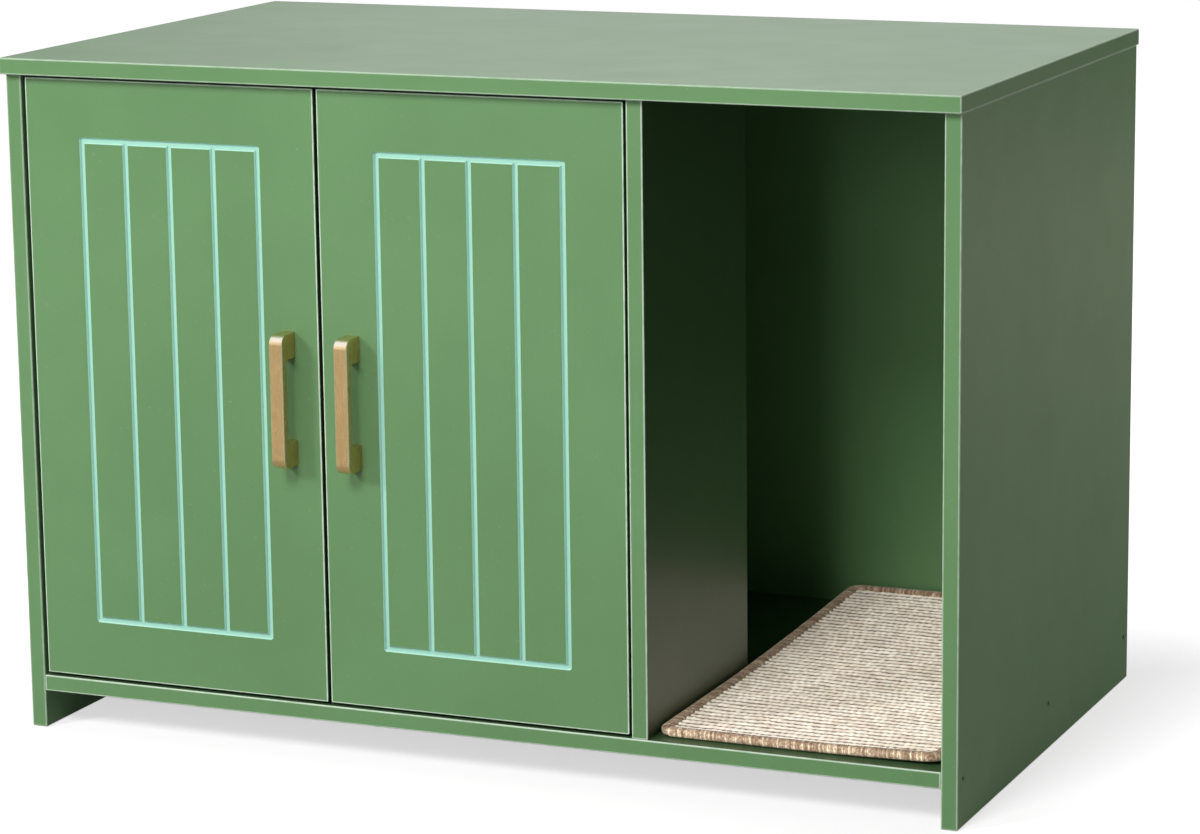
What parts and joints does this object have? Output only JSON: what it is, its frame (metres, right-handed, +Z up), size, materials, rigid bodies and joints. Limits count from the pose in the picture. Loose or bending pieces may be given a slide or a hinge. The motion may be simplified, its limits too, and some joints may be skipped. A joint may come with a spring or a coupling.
{
  "type": "cat litter box cabinet",
  "caption": "Board cabinet that hides a litter tray, with an open entry bay, a short inner divider and grooved hinged doors with bow handles.",
  "frame": {"origin": "on the floor, under the middle of the whole outline, handles included", "axes": "+Z up, the doors and the entry bay face -Y, +X to the right seen from the front"},
  "size_m": [0.9, 0.545, 0.62],
  "materials": {
    "green_board": "satin sage green lacquer",
    "back_board": "satin green hardboard",
    "beech": "raw beech",
    "zinc_steel": "zinc plated",
    "nickel_steel": "nickel plated",
    "cast_zinc": "cast zinc",
    "brushed_gold": "brushed gold",
    "brown_plastic": "matt",
    "magnet": "ferrite magnet",
    "cream_loop": "looped pile",
    "brown_yarn": "whipped yarn"
  },
  "bodies": {
    "case": {"top_panel": "green_board", "left_side_panel": "green_board", "right_side_panel": "green_board", "floor_panel": "green_board", "divider_panel": "green_board", "back_panel": "back_board", "back_panel_nails": "zinc_steel", "floor_screws": "zinc_steel", "divider_screws": "zinc_steel", "dowels": "beech", "cam_bolts": "zinc_steel", "cam_locks": "cast_zinc", "catch_bodies": "brown_plastic", "catch_magnets": "magnet", "catch_screws": "zinc_steel", "left_hinge_arms": "nickel_steel", "left_hinge_arm_pins": "nickel_steel", "left_hinge_arm_screws": "zinc_steel", "left_hinge_plates": "nickel_steel", "left_hinge_plate_screws": "zinc_steel", "right_hinge_arms": "nickel_steel", "right_hinge_arm_pins": "nickel_steel", "right_hinge_arm_screws": "zinc_steel", "right_hinge_plates": "nickel_steel", "right_hinge_plate_screws": "zinc_steel"},
    "left_door": {"left_door": "green_board", "left_handle": "brushed_gold", "left_handle_screws": "zinc_steel", "left_strike_plate": "zinc_steel", "left_strike_screws": "zinc_steel", "left_hinge_cups": "nickel_steel", "left_hinge_cup_pins": "nickel_steel", "left_hinge_cup_screws": "zinc_steel"},
    "left_inner_links": {"left_hinge_inner_links": "nickel_steel"},
    "left_outer_links": {"left_hinge_outer_links": "nickel_steel"},
    "right_door": {"right_door": "green_board", "right_handle": "brushed_gold", "right_handle_screws": "zinc_steel", "right_strike_plate": "zinc_steel", "right_strike_screws": "zinc_steel", "right_hinge_cups": "nickel_steel", "right_hinge_cup_pins": "nickel_steel", "right_hinge_cup_screws": "zinc_steel"},
    "right_inner_links": {"right_hinge_inner_links": "nickel_steel"},
    "right_outer_links": {"right_hinge_outer_links": "nickel_steel"},
    "mat": {"mat_pile": "cream_loop", "mat_binding": "brown_yarn"}
  },
  "joints": [
    {"name": "left_outer_link_pivot", "type": "hinge", "parent": "case", "child": "left_outer_links", "pos_m": [-0.4, -0.2391, 0.3275], "axis": [0, 0, -1], "range_deg": [0, 5.01]},
    {"name": "left_door_hinge", "type": "hinge", "parent": "left_outer_links", "child": "left_door", "pos_m": [-0.4175, -0.2392, 0.3275], "axis": [0, 0, -1], "range_deg": [0, 90]},
    {"name": "left_inner_link_pivot", "type": "hinge", "parent": "case", "child": "left_inner_links", "pos_m": [-0.4149, -0.2394, 0.3275], "axis": [0, 0, -1], "range_deg": [0, 68.41]},
    {"name": "right_outer_link_pivot", "type": "hinge", "parent": "case", "child": "right_outer_links", "pos_m": [0.12, -0.2391, 0.3275], "axis": [0, 0, 1], "range_deg": [0, 5.01]},
    {"name": "right_door_hinge", "type": "hinge", "parent": "right_outer_links", "child": "right_door", "pos_m": [0.1375, -0.2392, 0.3275], "axis": [0, 0, 1], "range_deg": [0, 90]},
    {"name": "right_inner_link_pivot", "type": "hinge", "parent": "case", "child": "right_inner_links", "pos_m": [0.1349, -0.2394, 0.3275], "axis": [0, 0, 1], "range_deg": [0, 68.41]},
    {"name": "mat_slide", "type": "slide", "parent": "case", "child": "mat", "axis": [0, -1, 0], "range_m": [0, 0.2]}
  ],
  "couplings": [
    {"joint": "left_outer_link_pivot", "follows": "left_door_hinge", "ratio": 0.055556},
    {"joint": "left_inner_link_pivot", "follows": "left_door_hinge", "ratio": 0.76},
    {"joint": "right_outer_link_pivot", "follows": "right_door_hinge", "ratio": 0.055556},
    {"joint": "right_inner_link_pivot", "follows": "right_door_hinge", "ratio": 0.76}
  ]
}
